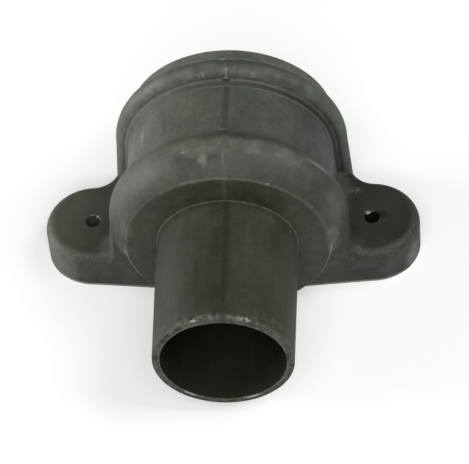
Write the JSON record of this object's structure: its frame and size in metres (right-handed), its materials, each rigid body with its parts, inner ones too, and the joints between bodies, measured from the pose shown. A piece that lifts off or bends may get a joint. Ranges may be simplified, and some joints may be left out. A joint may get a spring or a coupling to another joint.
{
  "type": "downpipe coupler",
  "caption": "Cast-iron pattern coupler for a round rainwater downpipe: a narrow spigot below, a beaded socket above and fixing ears either side, flat against the wall.",
  "frame": {"origin": "half way between the two screw holes, on the plane of the wall", "axes": "+Z away from the wall, +Y along the pipe towards the socket mouth, +X across the two fixing ears"},
  "size_m": [0.1682, 0.1372, 0.0909],
  "materials": {
    "moulding": "fine matt grain, dark grey with a green cast"
  },
  "bodies": {
    "root": {"downpipe_coupler": "moulding"}
  },
  "joints": []
}
